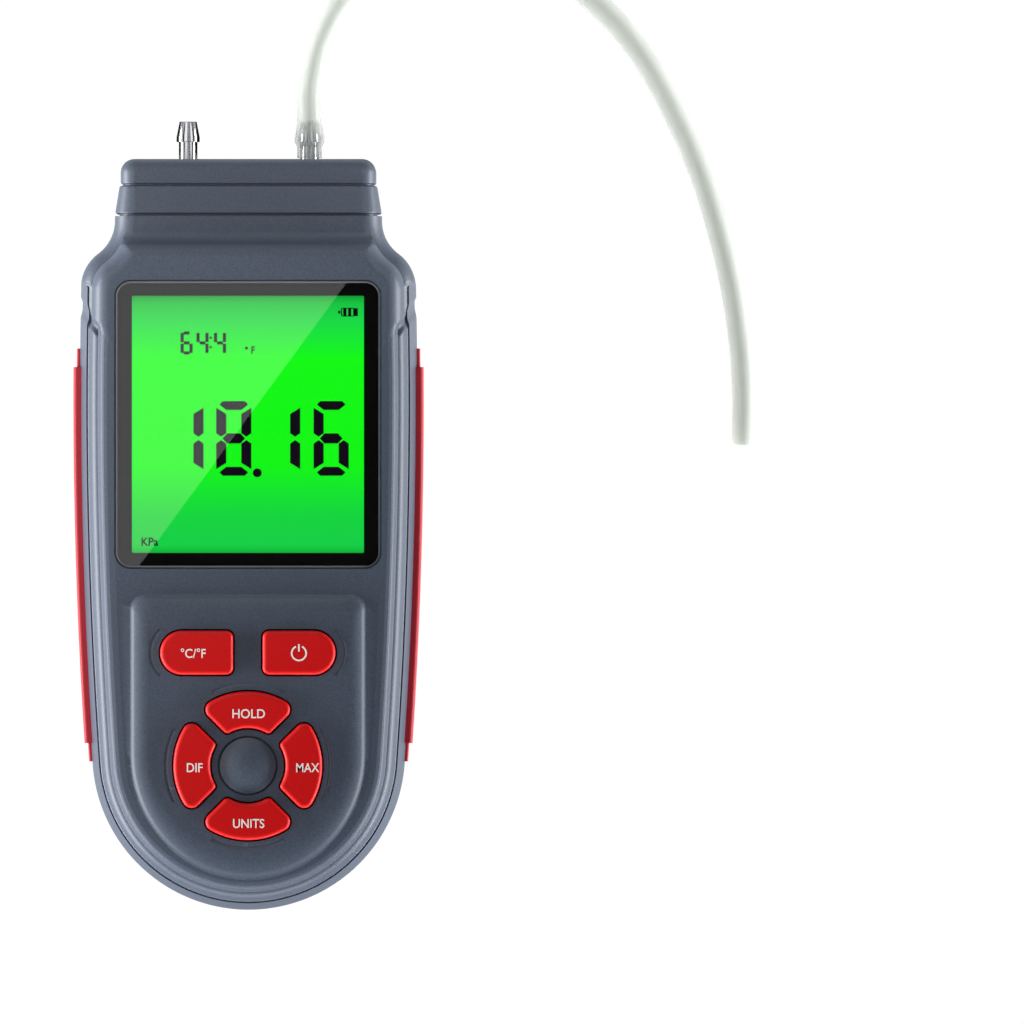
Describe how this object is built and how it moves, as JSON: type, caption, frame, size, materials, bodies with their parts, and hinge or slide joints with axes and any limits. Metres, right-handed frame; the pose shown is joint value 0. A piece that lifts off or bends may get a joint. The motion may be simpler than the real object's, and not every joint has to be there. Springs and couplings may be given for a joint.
{
  "type": "digital manometer",
  "caption": "Handheld digital manometer with a backlit display, press keys, side grips, two barbed pressure ports and a length of clear hose.",
  "frame": {"origin": "centre of the footprint of the instrument lying on its back, hose left out, on the surface that it lies on", "axes": "+Z out of the display, +Y towards the pressure ports, +X to the right of the display as it is read"},
  "size_m": [0.1475, 0.2118, 0.0354],
  "materials": {
    "housing_abs": "moulded ABS with a fine spark texture, blue grey",
    "grip_rubber": "moulded soft rubber, dark red, satin",
    "lens_acrylic": "clear polished acrylic window",
    "mask_print": "black print behind the window",
    "lcd_glass": "liquid crystal glass lit green from behind",
    "frame_plastic": "moulded black plastic",
    "light_guide": "milky light guide",
    "strip_rubber": "silicone strip with carbon layers",
    "board_laminate": "green solder mask on glass epoxy laminate",
    "chip_epoxy": "black moulding epoxy",
    "switch_body": "dark moulded nylon",
    "key_plastic": "moulded hard plastic, bright red, satin gloss",
    "stem_plastic": "black acetal",
    "sensor_body": "moulded sensor housing, off white",
    "inner_tube": "soft silicone tube",
    "nozzle_chrome": "turned brass, bright nickel and chrome plated",
    "nut_brass": "plain turned brass",
    "seal_rubber": "black nitrile rubber",
    "cell_sleeve": "plain printed sleeve, dark blue",
    "contact_steel": "nickel plated spring steel",
    "screw_steel": "zinc plated steel",
    "hose_silicone": "milky clear silicone rubber"
  },
  "bodies": {
    "case": {"front_cover": "housing_abs", "rear_cover": "housing_abs", "end_cap": "housing_abs", "left_grip": "grip_rubber", "right_grip": "grip_rubber", "display_lens": "lens_acrylic", "lens_mask": "mask_print", "lcd_panel": "lcd_glass", "lcd_frame": "frame_plastic", "backlight_panel": "light_guide", "zebra_strips": "strip_rubber", "main_board": "board_laminate", "board_chips": "chip_epoxy", "key_switches": "switch_body", "pressure_sensor": "sensor_body", "left_inner_tube": "inner_tube", "right_inner_tube": "inner_tube", "left_nozzle": "nozzle_chrome", "right_nozzle": "nozzle_chrome", "nozzle_nuts": "nut_brass", "nozzle_seals": "seal_rubber", "battery_cells": "cell_sleeve", "battery_contacts": "contact_steel", "battery_springs": "contact_steel", "case_screws": "screw_steel", "board_screws": "screw_steel", "pressure_hose": "hose_silicone"},
    "temp_unit_button": {"temp_unit_key": "key_plastic", "temp_unit_stem": "stem_plastic"},
    "power_button": {"power_key": "key_plastic", "power_stem": "stem_plastic"},
    "hold_button": {"hold_key": "key_plastic", "hold_stem": "stem_plastic"},
    "dif_button": {"dif_key": "key_plastic", "dif_stem": "stem_plastic"},
    "max_button": {"max_key": "key_plastic", "max_stem": "stem_plastic"},
    "units_button": {"units_key": "key_plastic", "units_stem": "stem_plastic"},
    "battery_door": {"battery_cover": "housing_abs"}
  },
  "joints": [
    {"name": "temp_unit_press", "type": "slide", "parent": "case", "child": "temp_unit_button", "axis": [0, 0, -1], "range_m": [0, 0.0006], "stiffness_N_per_m": 2500},
    {"name": "power_press", "type": "slide", "parent": "case", "child": "power_button", "axis": [0, 0, -1], "range_m": [0, 0.0006], "stiffness_N_per_m": 2500},
    {"name": "hold_press", "type": "slide", "parent": "case", "child": "hold_button", "axis": [0, 0, -1], "range_m": [0, 0.0006], "stiffness_N_per_m": 2500},
    {"name": "dif_press", "type": "slide", "parent": "case", "child": "dif_button", "axis": [0, 0, -1], "range_m": [0, 0.0006], "stiffness_N_per_m": 2500},
    {"name": "max_press", "type": "slide", "parent": "case", "child": "max_button", "axis": [0, 0, -1], "range_m": [0, 0.0006], "stiffness_N_per_m": 2500},
    {"name": "units_press", "type": "slide", "parent": "case", "child": "units_button", "axis": [0, 0, -1], "range_m": [0, 0.0006], "stiffness_N_per_m": 2500},
    {"name": "battery_door_hinge", "type": "hinge", "parent": "case", "child": "battery_door", "pos_m": [0, -0.0615, 0], "axis": [-1, 0, 0], "range_deg": [0, 75]}
  ]
}
